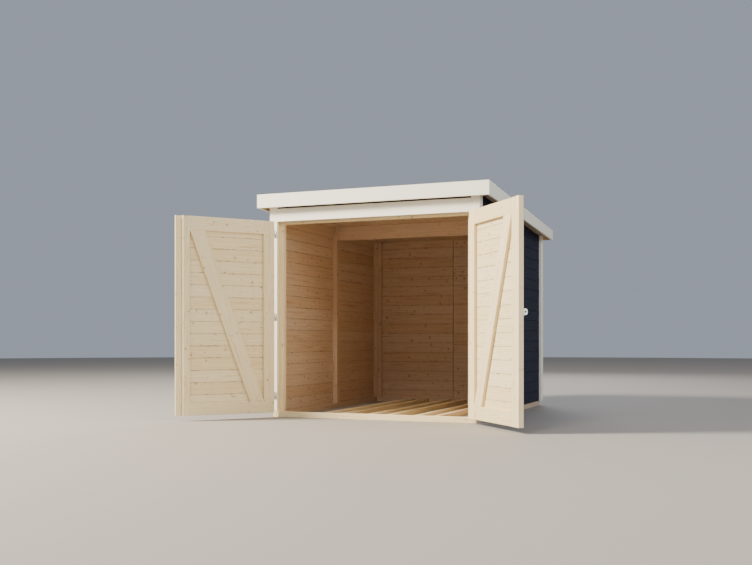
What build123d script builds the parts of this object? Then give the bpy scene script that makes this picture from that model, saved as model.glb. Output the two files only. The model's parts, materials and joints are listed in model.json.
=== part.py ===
# Timber bike shelter: a flat-roofed shed for three cycles with two hinged leaves that stand open.
# X runs to the right seen from the front, Y to the back, Z up. Lengths are in millimetres.
# The origin is on the ground, under the middle of the front sill.
from build123d import *
import math
import os

# Overall size, over the faces of the corner trims
shed_width = 1800
shed_depth = 2267

# Base frame on the ground
sill_depth = 44
sill_height = 46
sill_end_inset = 32
beam_width = 44
board_drip = 10

# Wheel tracks: pairs of battens from the sill to the back beam
track_count = 3
track_spacing = 396
track_offset = 41
batten_width = 44
batten_height = 42
wheel_channel = 118

# Walls and their timbers
board_thickness = 19
trim_thickness = 22
front_trim_width = 69
side_trim_depth = 84
trim_foot_gap = 2
reveal_depth = 47
door_post_width = 65
door_post_depth = 44
post_size = 42
stud_depth = 44
back_stud_depth = 38
side_stud_front = 1167
side_stud_drop = 69
lintel_gap = 5
lintel_height = 108
door_head_show = 18
door_head_height = 44
purlin_thickness = 44
purlin_height = 128
arris = 2

# Roof: boards, felt and the fascia round it
roof_front_height = 1838
roof_slope_deg = 3.07
front_overhang = 56
back_overhang = 43
side_overhang = 88
fascia_thickness = 20
front_fascia_height = 112
rear_fascia_height = 95
upstand = 44
felt_thickness = 3
roof_board_thickness = 19

# Door leaves
leaf_bottom = 42
leaf_head_gap = 3
leaf_board_thickness = 15
leaf_frame_thickness = 24
leaf_overlap = 2
leaf_stand_off = 6
meeting_gap = 7
meeting_margin = 54
free_stile_width = 56
hinge_stile_width = 92
top_rail_height = 109
bottom_rail_height = 101
brace_foot = 124
left_open_deg = 128
right_open_deg = 130

# Lift-off hinges: bracket with a pin on the trim, strap with an eye on the leaf
hinge_above_foot = 135
hinge_below_head = 100
hinge_height = 60
knuckle_radius = 7
pin_radius = 4.5
pin_clearance = 0.05
seat_gap = 0.3
pin_length = 28
axis_setback = 9
axis_inset = 16
plate_thickness = 3
plate_outboard = 20
plate_inboard = 4
arm_thickness = 6
strap_length = 190
strap_height = 29.7

# Eye for a padlock on the outside of the right leaf
eye_reach = 41
eye_width = 44
eye_thickness = 4
eye_hole_radius = 7
eye_base_width = 42
eye_base_height = 90
eye_edge_distance = 26

# Places that follow from the sizes
half_width = shed_width / 2
front_face = -sill_depth / 2
back_face = front_face + shed_depth
board_outer_x = half_width - trim_thickness
board_inner_x = board_outer_x - board_thickness
front_boards_y = front_face + trim_thickness
back_boards_outer_y = back_face - trim_thickness
back_boards_inner_y = back_boards_outer_y - board_thickness
beam_outer_x = board_outer_x - board_drip
back_beam_rear_y = back_boards_outer_y - board_drip
back_beam_front_y = back_beam_rear_y - beam_width
sill_rear_y = front_face + sill_depth
trim_inner_x = half_width - front_trim_width
trim_bottom = sill_height + trim_foot_gap
frame_front_y = front_face + reveal_depth
stud_front_y = front_face + side_stud_front
stud_rear_y = stud_front_y + stud_depth
panel_joint_y = stud_front_y + stud_depth / 2
fascia_front_y = front_face - front_overhang
fascia_rear_y = back_face + back_overhang
fascia_outer_x = half_width + side_overhang
fascia_inner_x = fascia_outer_x - fascia_thickness
roof_front_y = fascia_front_y + fascia_thickness
roof_back_y = fascia_rear_y - fascia_thickness
roof_fall = math.tan(math.radians(roof_slope_deg))
lintel_bottom = roof_front_height - front_fascia_height - lintel_gap - lintel_height
door_head_bottom = lintel_bottom - door_head_show
leaf_top = lintel_bottom - leaf_head_gap
leaf_middle = (leaf_bottom + leaf_top) / 2
hinge_heights = (leaf_bottom + hinge_above_foot, leaf_middle, leaf_top - hinge_below_head)
leaf_thickness = leaf_board_thickness + leaf_frame_thickness
leaf_inner_y = front_face - leaf_stand_off
leaf_outer_y = leaf_inner_y - leaf_thickness
leaf_joint_y = leaf_outer_y + leaf_board_thickness
leaf_hinge_x = trim_inner_x + leaf_overlap
leaf_free_x = meeting_gap / 2
free_stile_x = leaf_free_x + meeting_margin
axis_x = leaf_hinge_x + axis_setback
axis_y = leaf_outer_y + axis_inset


def fascia_top(y):
    """Height of the fascia's top edge at depth y."""
    return roof_front_height - (y - fascia_front_y) * roof_fall


def roof_underside(y):
    """Height of the underside of the roof boards at depth y."""
    return fascia_top(y) - upstand - felt_thickness - roof_board_thickness


def block(x_pair, y_pair, z_pair):
    """Square-edged timber between two corners."""
    sizes = [abs(high - low) for low, high in (x_pair, y_pair, z_pair)]
    middle = [(low + high) / 2 for low, high in (x_pair, y_pair, z_pair)]
    return Pos(*middle) * Box(*sizes)


def side_profile(x_pair, points):
    """Solid whose outline in Y and Z is given, between two X values."""
    face = Plane.YZ * Polygon(*points, align=None)
    return Pos(min(x_pair), 0, 0) * extrude(face, abs(x_pair[1] - x_pair[0]), dir=(1, 0, 0))


def front_profile(y_pair, points):
    """Solid whose outline in X and Z is given, between two Y values."""
    face = Plane.XZ * Polygon(*points, align=None)
    return Pos(0, min(y_pair), 0) * extrude(face, abs(y_pair[1] - y_pair[0]), dir=(0, 1, 0))


def eased(piece):
    """Planed timber: the arrises that run with the grain are taken off."""
    longest = max(edge.length for edge in piece.edges())
    with_grain = piece.edges().filter_by(lambda edge: edge.length > 0.9 * longest)
    return chamfer(with_grain, arris)


def under_roof(x_pair, y_pair, bottom):
    """Upright piece whose top follows the underside of the roof boards."""
    near, far = y_pair
    points = [(near, bottom), (far, bottom), (far, roof_underside(far)), (near, roof_underside(near))]
    return side_profile(x_pair, points)


def both_sides(make):
    """The same piece on the left and on the right, as two solids."""
    return Compound([make(-1), make(1)])


def base_frame():
    half_sill = half_width - sill_end_inset
    sill = eased(block((-half_sill, half_sill), (front_face, sill_rear_y), (0, sill_height)))
    back_y = (back_beam_front_y, back_beam_rear_y)
    back = eased(block((-beam_outer_x, beam_outer_x), back_y, (0, sill_height)))

    def side_beam(side):
        x_pair = (side * beam_outer_x, side * (beam_outer_x - beam_width))
        return eased(block(x_pair, (sill_rear_y, back_beam_front_y), (0, sill_height)))

    return {"front_sill": sill, "back_base_beam": back, "side_base_beams": both_sides(side_beam)}


def wheel_tracks():
    names = ("left", "middle", "right")
    pieces = {}
    for index in range(track_count):
        centre = track_offset + (index - (track_count - 1) / 2) * track_spacing
        battens = []
        for side in (-1, 1):
            inner = centre + side * wheel_channel / 2
            x_pair = (inner, inner + side * batten_width)
            batten = block(x_pair, (sill_rear_y, back_beam_front_y), (0, batten_height))
            battens.append(eased(batten))
        pieces[f"wheel_track_{names[index]}"] = Compound(battens)
    return pieces


def walls():
    pieces = {}
    for name, side in (("left", -1), ("right", 1)):
        x_pair = (side * board_inner_x, side * board_outer_x)
        front_part = under_roof(x_pair, (front_boards_y, panel_joint_y), sill_height)
        rear_part = under_roof(x_pair, (panel_joint_y, back_boards_outer_y), sill_height)
        pieces[f"{name}_wall_front_panel"] = front_part
        pieces[f"{name}_wall_rear_panel"] = rear_part
        x_back = (0, side * board_inner_x)
        y_back = (back_boards_inner_y, back_boards_outer_y)
        pieces[f"back_wall_{name}_panel"] = under_roof(x_back, y_back, sill_height)
    x_head = (-board_inner_x, board_inner_x)
    pieces["front_wall_head_panel"] = under_roof(x_head, (front_boards_y, frame_front_y), lintel_bottom)
    return pieces


def frame_timbers():
    frame_rear_y = frame_front_y + door_post_depth
    post_inner_x = board_inner_x - door_post_width

    def door_post(side):
        x_pair = (side * post_inner_x, side * board_inner_x)
        return eased(under_roof(x_pair, (frame_front_y, frame_rear_y), sill_height))

    def reveal_strip(side):
        x_pair = (side * trim_inner_x, side * board_inner_x)
        return eased(block(x_pair, (front_boards_y, frame_front_y), (sill_height, lintel_bottom)))

    def rear_post(side):
        x_pair = (side * (board_inner_x - post_size), side * board_inner_x)
        y_pair = (back_boards_inner_y - post_size, back_boards_inner_y)
        return eased(under_roof(x_pair, y_pair, sill_height))

    def side_stud(side):
        x_pair = (side * (board_inner_x - post_size), side * board_inner_x)
        top = roof_underside(stud_front_y) - side_stud_drop
        return eased(block(x_pair, (stud_front_y, stud_rear_y), (sill_height, top)))

    def back_stud(side):
        outer = board_inner_x - post_size
        x_pair = (side * (outer - post_size), side * outer)
        y_pair = (back_boards_inner_y - back_stud_depth, back_boards_inner_y)
        return eased(under_roof(x_pair, y_pair, sill_height))

    head_z = (door_head_bottom, door_head_bottom + door_head_height)
    head = eased(block((-post_inner_x, post_inner_x), (frame_front_y, frame_rear_y), head_z))
    purlin_rear_y = stud_rear_y + purlin_thickness
    purlin_bottom = roof_underside(stud_rear_y) - purlin_height
    purlin = under_roof((-board_inner_x, board_inner_x), (stud_rear_y, purlin_rear_y), purlin_bottom)
    return {
        "door_posts": both_sides(door_post),
        "door_head": head,
        "door_reveal_strips": both_sides(reveal_strip),
        "rear_corner_posts": both_sides(rear_post),
        "side_studs": both_sides(side_stud),
        "back_studs": both_sides(back_stud),
        "roof_purlin": eased(purlin),
    }


def sloping_slab(x_pair, y_pair, lift, thickness):
    """Slab that lies parallel to the roof, its underside lifted off the wall tops."""
    near, far = y_pair
    low = [(near, roof_underside(near) + lift), (far, roof_underside(far) + lift)]
    high = [(y, z + thickness) for y, z in reversed(low)]
    return side_profile(x_pair, low + high)


def roof():
    roof_x = (-fascia_inner_x, fascia_inner_x)
    boards = sloping_slab(roof_x, (roof_front_y, roof_back_y), 0, roof_board_thickness)
    felt = sloping_slab(roof_x, (roof_front_y, fascia_rear_y), roof_board_thickness, felt_thickness)
    front_z = (roof_front_height - front_fascia_height, roof_front_height)
    front = block((-fascia_outer_x, fascia_outer_x), (fascia_front_y, roof_front_y), front_z)
    rear_bottom = fascia_top(fascia_rear_y) - rear_fascia_height
    drip_points = [
        (roof_back_y, rear_bottom),
        (fascia_rear_y, rear_bottom),
        (fascia_rear_y, roof_underside(fascia_rear_y) + roof_board_thickness),
        (roof_back_y, roof_underside(roof_back_y) + roof_board_thickness),
    ]
    pieces = {
        "roof_boards": boards,
        "roof_felt": felt,
        "front_fascia": eased(front),
        "back_fascia": eased(side_profile(roof_x, drip_points)),
    }
    side_points = [
        (roof_front_y, front_z[0]),
        (fascia_rear_y, rear_bottom),
        (fascia_rear_y, fascia_top(fascia_rear_y)),
        (roof_front_y, fascia_top(roof_front_y)),
    ]
    for name, side in (("left", -1), ("right", 1)):
        x_pair = (side * fascia_inner_x, side * fascia_outer_x)
        pieces[f"{name}_fascia"] = eased(side_profile(x_pair, side_points))
    return pieces


def corner_trim(side, face_y, face_depth_y, return_y):
    """Upright board on the face and its return on the side, eased along the open arrises."""
    face_x = (side * trim_inner_x, side * half_width)
    side_x = (side * board_outer_x, side * half_width)
    face_board = under_roof(face_x, sorted((face_y, face_depth_y)), trim_bottom)
    side_board = under_roof(side_x, sorted((face_y, return_y)), trim_bottom)
    trim = face_board + side_board

    def is_open(edge):
        place = edge.center()
        return abs(place.Y - face_y) < 1 or abs(side * place.X - half_width) < 1

    return chamfer(trim.edges().filter_by(Axis.Z).filter_by(is_open), arris)


def trims():
    pieces = {}
    for name, side in (("left", -1), ("right", 1)):
        front_return_y = front_face + side_trim_depth
        back_return_y = back_face - side_trim_depth
        front = corner_trim(side, front_face, front_boards_y, front_return_y)
        back = corner_trim(side, back_face, back_boards_outer_y, back_return_y)
        pieces[f"front_{name}_corner_trim"] = front
        pieces[f"back_{name}_corner_trim"] = back
    lintel_z = (lintel_bottom, lintel_bottom + lintel_height)
    lintel = block((-trim_inner_x, trim_inner_x), (front_face, front_boards_y), lintel_z)
    pieces["lintel_board"] = eased(lintel)
    return pieces


def hinge_bracket(side, height):
    """Plate on the trim, web to the front, lower knuckle and the pin that stands in it."""
    outboard = side * (axis_x + plate_outboard)
    inboard = side * (axis_x - plate_inboard)
    half = hinge_height / 2
    plate_y = (front_face - plate_thickness, front_face)
    plate = block((outboard, inboard), plate_y, (height - half, height + half))
    web_x = (side * (axis_x - arm_thickness / 2), side * (axis_x + arm_thickness / 2))
    web = block(web_x, (axis_y, plate_y[0]), (height - half, height))
    centre = Pos(side * axis_x, axis_y, height)
    knuckle = centre * Pos(0, 0, -half / 2) * Cylinder(knuckle_radius, half)
    pin = centre * Pos(0, 0, pin_length / 2) * Cylinder(pin_radius, pin_length)
    return plate + web + knuckle + pin


def hinge_strap(side, height):
    """Upper knuckle with its bore, an arm round the leaf's edge and the strap on its outside."""
    low = height + seat_gap
    centre = Pos(side * axis_x, axis_y, low + strap_height / 2)
    bore_radius = pin_radius + pin_clearance
    arm_x = (axis_x - arm_thickness / 2, axis_x + arm_thickness / 2)
    strap_z = (low, low + strap_height)
    strap_y = (leaf_outer_y - plate_thickness, leaf_outer_y)
    strap = block((side * arm_x[1], side * (leaf_hinge_x - strap_length)), strap_y, strap_z)
    tip_edges = strap.edges().filter_by(Axis.Y).sort_by(lambda edge: side * edge.center().X)[:2]
    strap = fillet(tip_edges, strap_height / 2 - 1)
    arm = block((side * arm_x[0], side * arm_x[1]), (strap_y[0], axis_y), strap_z)
    eye = centre * Cylinder(knuckle_radius, strap_height) + arm + strap
    return eye - centre * Cylinder(bore_radius, strap_height + 1)


def leaf(side):
    """One door leaf in its closed place: boards outside, stiles, rails and a brace inside."""
    height = (leaf_bottom, leaf_top)
    board_y = (leaf_outer_y, leaf_joint_y)
    frame_y = (leaf_joint_y, leaf_inner_y)
    free_inner_x = free_stile_x + free_stile_width
    hinge_inner_x = leaf_hinge_x - hinge_stile_width
    free_board_x = free_stile_x + free_stile_width / 2 if side < 0 else free_stile_x
    rail_x = (side * free_inner_x, side * hinge_inner_x)
    bottom_z = leaf_bottom + bottom_rail_height
    top_z = leaf_top - top_rail_height
    boards = block((side * free_board_x, side * leaf_hinge_x), board_y, height)
    free_stile = block((side * free_stile_x, side * free_inner_x), frame_y, height)
    hinge_stile = block((side * hinge_inner_x, side * leaf_hinge_x), frame_y, height)
    bottom_rail = block(rail_x, frame_y, (leaf_bottom, bottom_z))
    top_rail = block(rail_x, frame_y, (top_z, leaf_top))
    brace_points = [
        (side * free_inner_x, top_z),
        (side * (free_inner_x + brace_foot), top_z),
        (side * hinge_inner_x, bottom_z),
        (side * (hinge_inner_x - brace_foot), bottom_z),
    ]
    straps = [hinge_strap(side, z) for z in hinge_heights]
    return {
        "boards": boards,
        "stiles": Compound([eased(free_stile), eased(hinge_stile)]),
        "rails": Compound([eased(bottom_rail), eased(top_rail)]),
        "brace": eased(front_profile(frame_y, brace_points)),
        "hinge_straps": Compound(straps),
    }


def closing_board():
    """Upright board that carries the left leaf's outside past its frame to the meeting edge."""
    x_pair = (-leaf_free_x, -(free_stile_x + free_stile_width / 2))
    return eased(block(x_pair, (leaf_outer_y, leaf_joint_y), (leaf_bottom, leaf_top)))


def meeting_post():
    """Upright as thick as the whole leaf, between the right leaf's boards and its meeting edge."""
    x_pair = (leaf_free_x, free_stile_x)
    return eased(block(x_pair, (leaf_outer_y, leaf_inner_y), (leaf_bottom, leaf_top)))


def padlock_eye():
    """Base plate on the outside of the right leaf, with an upright lug that has a round hole."""
    lug_x = leaf_free_x + eye_edge_distance
    base_y = (leaf_outer_y - eye_thickness, leaf_outer_y)
    half_base = eye_base_height / 2
    base = block((lug_x, lug_x + eye_base_width), base_y, (leaf_middle - half_base, leaf_middle + half_base))
    half_eye = eye_width / 2
    lug_y = (leaf_outer_y - eye_reach, leaf_outer_y)
    lug = block((lug_x, lug_x + eye_thickness), lug_y, (leaf_middle - half_eye, leaf_middle + half_eye))
    nose_edges = lug.edges().filter_by(Axis.X).sort_by(Axis.Y)[:2]
    lug = fillet(nose_edges, half_eye * 0.7)
    hole_y = leaf_outer_y - eye_reach + half_eye * 0.7
    hole = Pos(lug_x, hole_y, leaf_middle) * Rot(0, 90, 0) * Cylinder(eye_hole_radius, 4 * eye_thickness)
    return base + lug - hole


def swung(piece, side, angle):
    """Turn a piece of a leaf about its hinge axis from closed to open."""
    there = Pos(side * axis_x, axis_y, 0)
    return there * Rot(0, 0, side * angle) * there.inverse() * piece


def doors():
    pieces = {}
    brackets = [hinge_bracket(side, z) for side in (-1, 1) for z in hinge_heights]
    pieces["hinge_brackets"] = Compound(brackets)
    for name, side, angle in (("left", -1, left_open_deg), ("right", 1, right_open_deg)):
        for part_name, piece in leaf(side).items():
            pieces[f"{name}_leaf_{part_name}"] = swung(piece, side, angle)
    pieces["left_leaf_closing_board"] = swung(closing_board(), -1, left_open_deg)
    pieces["right_leaf_meeting_post"] = swung(meeting_post(), 1, right_open_deg)
    pieces["padlock_eye"] = swung(padlock_eye(), 1, right_open_deg)
    return pieces


os.makedirs("parts", exist_ok=True)
for group in (base_frame, wheel_tracks, walls, frame_timbers, roof, trims, doors):
    for node, shape in group().items():
        export_step(shape, f"parts/{node}.step")
        print(node)
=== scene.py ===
import bpy
import bmesh
import json
import math
import random
from mathutils import Matrix, Vector


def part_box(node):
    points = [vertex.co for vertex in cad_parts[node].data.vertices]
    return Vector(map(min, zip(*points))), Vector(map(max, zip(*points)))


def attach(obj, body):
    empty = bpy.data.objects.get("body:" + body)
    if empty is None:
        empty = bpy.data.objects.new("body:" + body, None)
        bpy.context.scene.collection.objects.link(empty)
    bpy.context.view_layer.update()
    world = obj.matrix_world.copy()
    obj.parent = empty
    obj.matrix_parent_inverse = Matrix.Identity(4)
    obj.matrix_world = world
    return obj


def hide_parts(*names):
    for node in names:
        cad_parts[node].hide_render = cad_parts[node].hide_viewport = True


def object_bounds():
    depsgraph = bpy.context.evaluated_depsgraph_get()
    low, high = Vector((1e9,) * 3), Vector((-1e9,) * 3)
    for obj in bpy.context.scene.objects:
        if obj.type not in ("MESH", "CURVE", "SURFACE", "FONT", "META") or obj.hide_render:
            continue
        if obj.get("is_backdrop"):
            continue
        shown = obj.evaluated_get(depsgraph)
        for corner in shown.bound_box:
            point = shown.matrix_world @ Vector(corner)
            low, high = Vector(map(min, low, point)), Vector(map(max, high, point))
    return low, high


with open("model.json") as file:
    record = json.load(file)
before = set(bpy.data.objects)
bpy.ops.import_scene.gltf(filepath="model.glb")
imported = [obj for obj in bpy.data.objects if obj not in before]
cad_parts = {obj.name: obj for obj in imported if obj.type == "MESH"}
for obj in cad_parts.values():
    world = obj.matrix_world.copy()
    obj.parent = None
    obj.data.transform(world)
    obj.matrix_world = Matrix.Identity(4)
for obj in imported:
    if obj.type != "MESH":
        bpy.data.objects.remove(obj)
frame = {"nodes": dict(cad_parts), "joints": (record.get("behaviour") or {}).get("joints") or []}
cadLow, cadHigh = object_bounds()
chance = random.Random(11)


def linear(code):
    parts = [int(code[i:i + 2], 16) / 255 for i in (1, 3, 5)]
    return [p / 12.92 if p <= 0.04045 else ((p + 0.055) / 1.055) ** 2.4 for p in parts] + [1.0]


def plug(tree, node, links):
    # a node stands for its first output
    for key, source in links.items():
        tree.links.new(getattr(source, "outputs", [source])[0], node.inputs[key])


def addNode(tree, kind, settings=None, links=None):
    node = tree.nodes.new(kind)
    for key, value in (settings or {}).items():
        if isinstance(key, int) or key in node.inputs:
            node.inputs[key].default_value = value
        else:
            setattr(node, key, value)
    plug(tree, node, links or {})
    return node


def calc(tree, operation, *terms, kind="Math"):
    # plain values are set, nodes and sockets are linked
    linked = {i: term for i, term in enumerate(terms) if hasattr(term, "bl_rna")}
    fixed = {i: term for i, term in enumerate(terms) if i not in linked}
    return addNode(tree, "ShaderNode" + kind, {"operation": operation} | fixed, linked)


def remap(tree, source, span):
    return addNode(tree, "ShaderNodeMapRange", span, {0: source})


def tint(tree, share, under, over, blend="MIX"):
    # over is a colour's code, under is another or what a node gives
    settings = {"data_type": "RGBA", "blend_type": blend, 7: linear(over)}
    links = {0: share, 6: under}
    if isinstance(under, str):
        settings[6] = linear(links.pop(6))
    return addNode(tree, "ShaderNodeMix", settings, links).outputs[2]


def noise(tree, place, scale, detail, **more):
    # three scales stretch the pattern
    if isinstance(scale, tuple):
        place, scale = addNode(tree, "ShaderNodeMapping", {"Scale": scale}, {0: place}), 1.0
    settings = {"Scale": scale, "Detail": detail} | more
    return addNode(tree, "ShaderNodeTexNoise", settings, {"Vector": place})


def cells(tree, place, scale, **more):
    # the pattern itself, and a number that each of its cells has to itself
    pattern = addNode(tree, "ShaderNodeTexVoronoi", more | {"Scale": scale}, {"Vector": place})
    dice = addNode(tree, "ShaderNodeSeparateColor", links={0: pattern.outputs["Color"]})
    return pattern, dice.outputs["Red"]


def newObject(name, data):
    thing = bpy.data.objects.new(name, data)
    bpy.context.scene.collection.objects.link(thing)
    return thing


def newMesh(bm, name, finishes=()):
    mesh = bpy.data.meshes.new(name)
    bm.to_mesh(mesh)
    for finish in finishes:
        mesh.materials.append(finish)
    return mesh


def newMaterial(name):
    material = bpy.data.materials.new(name)
    material.use_nodes = True
    tree = material.node_tree
    tree.nodes.clear()
    shader = addNode(tree, "ShaderNodeBsdfPrincipled")
    addNode(tree, "ShaderNodeOutputMaterial", links={"Surface": shader})
    return material, tree, shader


def dress(tree, shader, relief, height, patterned, plain):
    # relief is the bump's strength and its depth in metres
    strength, depth = relief
    bump = addNode(tree, "ShaderNodeBump", {"Strength": strength, "Distance": depth}, {"Height": height})
    plug(tree, shader, patterned | {"Normal": bump})
    for key, value in plain.items():
        shader.inputs[key].default_value = value


# the wood itself, shared by the bare and the painted finishes
# grainPos runs along, through and across each board in metres, boardSeed picks its piece of the tree
# in a range, 1 and 2 are the values that it reads between, and 3 and 4 what it gives there
smooth = {"interpolation_type": "SMOOTHSTEP"}
boardPitch = 0.09666           # cover of one tongued board
spruceGrain = {
    "logStep": (43.0, 0.0, 17.0),   # how far apart the boards lie in the log, so that no two are alike
    "ringSpacing": 0.0042,     # slow grown northern spruce, 3 to 5 mm a year
    "ringWander": (0.030, 0.090),   # how far the pith strays, through and across the board
    "wanderScale": (0.8, 5.0, 5.0),
    "pithDepth": 0.028,
    "lateStops": ((0.0, 0.75), (0.12, 0.0), (0.55, 0.12), (0.93, 1.0)),   # late wood through one year
    "knotsPerMetre": 10.5,
    "knotShare": 0.42,         # share of the places that hold a knot
    "knotRadius": 0.0037,
    "knotSizes": (0.35, 1.35),
    "knotCore": {1: 1.15, 2: 0.7, 3: 0.0, 4: 1.0},     # in radii of the knot
    "knotSwirl": {1: 5.0, 2: 0.8, 3: 0.0, 4: 1.0},
    "knotPush": 0.006,         # how far a knot pushes the rings aside
    "edgeFade": {1: 0.001, 2: 0.004, 3: 0.0, 4: 1.0},
    "fibre": 0.0011,           # planed fibre bundles, about a millimetre
    "fibreRuns": 14.0,         # bundles to a metre, end to end
    "resinScale": (1.5, 24.0, 58.0),
    "checkLength": 0.045,      # short dark hairlines along the grain, drawn 3 mm wide so that they show
    "checkWidth": 0.0032,
}


def spruceNodes(tree):
    g = spruceGrain
    place, seed, end, half = (addNode(tree, "ShaderNodeAttribute", {"attribute_name": name})
                              for name in ("grainPos", "boardSeed", "endFace", "halfWide"))
    slide = addNode(tree, "ShaderNodeVectorMath", {"operation": "SCALE", 0: g["logStep"]},
                    {"Scale": seed.outputs["Fac"]})
    log = calc(tree, "ADD", place.outputs["Vector"], slide, kind="VectorMath")

    # knots go straight through the board, so their pattern is flat
    flat = addNode(tree, "ShaderNodeSeparateXYZ", links={0: log})
    flatPos = addNode(tree, "ShaderNodeCombineXYZ", links={0: flat.outputs["X"], 1: flat.outputs["Z"]})
    places, dice = cells(tree, flatPos, g["knotsPerMetre"], voronoi_dimensions="2D")
    small, large = g["knotSizes"]
    size = remap(tree, dice, {1: 1 - g["knotShare"], 2: 1.0, 3: small, 4: large})
    holds = calc(tree, "GREATER_THAN", dice, 1 - g["knotShare"])
    radii = calc(tree, "DIVIDE", places.outputs["Distance"], g["knotsPerMetre"] * g["knotRadius"])
    reach = calc(tree, "DIVIDE", radii, size)
    core, swirl = (remap(tree, reach, smooth | g[part]) for part in ("knotCore", "knotSwirl"))
    swell = calc(tree, "MULTIPLY", swirl, holds)

    # knots and drying checks stop short of a board's edges, so that none is smeared over a narrow side
    across = addNode(tree, "ShaderNodeSeparateXYZ", links={0: place.outputs["Vector"]})
    aside = calc(tree, "ABSOLUTE", across.outputs["Z"])
    whole = remap(tree, calc(tree, "SUBTRACT", half.outputs["Fac"], aside), g["edgeFade"])
    knot = calc(tree, "MULTIPLY", calc(tree, "MULTIPLY", core, whole), holds)

    # yearly rings round a pith that lies behind the face and wanders along the log
    deep, wide = g["ringWander"]
    wander = noise(tree, log, g["wanderScale"], 2.0)
    drift = calc(tree, "MULTIPLY_ADD", wander.outputs["Color"], (0.0, deep, wide),
                 (0.0, g["pithDepth"], -wide / 2), kind="VectorMath")
    fromPith = calc(tree, "MULTIPLY_ADD", place.outputs["Vector"], (0.0, 1.0, 1.0), drift,
                    kind="VectorMath")
    radius = calc(tree, "LENGTH", fromPith, kind="VectorMath")
    bent = calc(tree, "MULTIPLY_ADD", swell, g["knotPush"], radius.outputs["Value"])
    year = calc(tree, "FRACT", calc(tree, "DIVIDE", bent, g["ringSpacing"]))
    late = addNode(tree, "ShaderNodeValToRGB", links={0: year})
    ramp = late.color_ramp.elements
    for i, (position, value) in enumerate(g["lateStops"]):
        stop = ramp[i] if i < 2 else ramp.new(position)
        stop.position = position
        stop.color = (value, value, value, 1)

    # planed fibre, long tan streaks where resin sits under the surface, and short dark drying checks
    return {
        "aside": aside, "log": log, "seed": seed.outputs["Fac"],
        "end": end.outputs["Fac"], "knot": knot, "swell": swell,
        "late": late.outputs["Color"], "whole": whole,
        "fibre": noise(tree, log, (g["fibreRuns"], 1 / g["fibre"], 1 / g["fibre"]), 1.0),
        "streaks": noise(tree, log, g["resinScale"], 3.0, Roughness=0.6),
        "checks": noise(tree, log, (1 / g["checkLength"], 0.0, 0.5 / g["checkWidth"]), 1.0),
    }


# planed, untreated spruce: pale straw early wood, tan late wood, small brown knots, a dull silky surface
# one spruce in two copies: a paler, lit copy for the leaves, doorway, sill and tracks, and a darker, warmer
# copy with painted shade for what stays under the roof
spruceFinishes = {
    # in each copy, joint is the colour of the painted shade and dust in the board joints
    "litPaleSpruce": {
        "early": "#F1E1B8", "late": "#E4C68A", "resin": "#CFA468", "knot": "#432A19", "halo": "#C69E66",
        "check": "#7C5A36", "joint": "#5F4026", "jointShare": 0.75, "warm": "#F6EAD2", "endGrain": "#DCC7A2",
    },
    # the darker, warmer copy paints in the shade that lies under the roof
    "shadedHoneySpruce": {
        "early": "#CEB69C", "late": "#B99976", "resin": "#A96A34", "knot": "#2E1A10", "halo": "#A66E3C",
        "check": "#4A2A15", "joint": "#2A160C", "jointShare": 0.60, "warm": "#F0DDC0", "endGrain": "#C39A68",
    },
}
# how strongly each trait of the wood tells in both finishes
bareWood = {
    "late": 0.62, "warm": 0.5, "halo": 0.34, "endGrain": 0.15,
    "resin": {1: 0.60, 2: 0.78, 3: 0.0, 4: 0.75},
    "check": {1: 0.68, 2: 0.75, 3: 0.0, 4: 0.8},
    "joint": (0.0062, 0.0028),      # from the joint's middle, where its shade starts and is full
    # the painted shade and dust along the joints comes and goes in stretches
    "shadeAndDustScale": (20.0, 0.0, 0.7),
    "dust": {1: 0.52, 2: 0.66, 3: 0.15, 4: 1.0},
    "fibre": {1: 0.25, 2: 0.75, 3: 0.93, 4: 1.04},
    "roughness": {1: 0.0, 2: 1.0, 3: 0.66, 4: 0.52},   # from early wood to late
    "lateRelief": 0.6, "relief": (0.35, 0.0006), "ior": 1.5,
}


def bareSpruce(name):
    c, b = spruceFinishes[name], bareWood
    material, tree, shader = newMaterial(name)
    w = spruceNodes(tree)
    rings = tint(tree, calc(tree, "MULTIPLY", w["late"], b["late"]), c["early"], c["late"])
    colour = tint(tree, calc(tree, "MULTIPLY", w["seed"], b["warm"]), rings, c["warm"], "MULTIPLY")
    streak = remap(tree, w["streaks"], smooth | b["resin"])
    onFace = calc(tree, "MULTIPLY", remap(tree, w["checks"], smooth | b["check"]), w["whole"])
    ringTint = calc(tree, "MULTIPLY", w["swell"], b["halo"])

    # painted shade and dust along the open joint between two tongued boards, stronger in some stretches than
    # others
    starts, full = (boardPitch / 2 - reach for reach in b["joint"])
    edge = remap(tree, w["aside"], smooth | {1: starts, 2: full, 3: 0.0, 4: c["jointShare"]})
    shadeAndDustPatches = remap(tree, noise(tree, w["log"], b["shadeAndDustScale"], 3.0), smooth | b["dust"])
    jointed = addNode(tree, "ShaderNodeAttribute", {"attribute_name": "jointed"})
    jointShadeAndDust = calc(tree, "MULTIPLY", calc(tree, "MULTIPLY", edge, jointed.outputs["Fac"]), shadeAndDustPatches)

    # each trait tints what lies under it
    for trait, share in (("resin", streak), ("check", onFace),
                         ("halo", ringTint), ("knot", w["knot"]), ("joint", jointShadeAndDust)):
        colour = tint(tree, share, colour, c[trait])
    fibreShade = remap(tree, w["fibre"], b["fibre"])
    fibred = addNode(tree, "ShaderNodeVectorMath", {"operation": "SCALE"}, {0: colour, "Scale": fibreShade})
    ends = tint(tree, calc(tree, "MULTIPLY", w["end"], b["endGrain"]), fibred, c["endGrain"], "MULTIPLY")
    rough = remap(tree, w["late"], b["roughness"])
    height = calc(tree, "MULTIPLY_ADD", w["late"], b["lateRelief"], w["fibre"])
    dress(tree, shader, b["relief"], height, {"Base Color": ends, "Roughness": rough}, {"IOR": b["ior"]})
    return material


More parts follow.
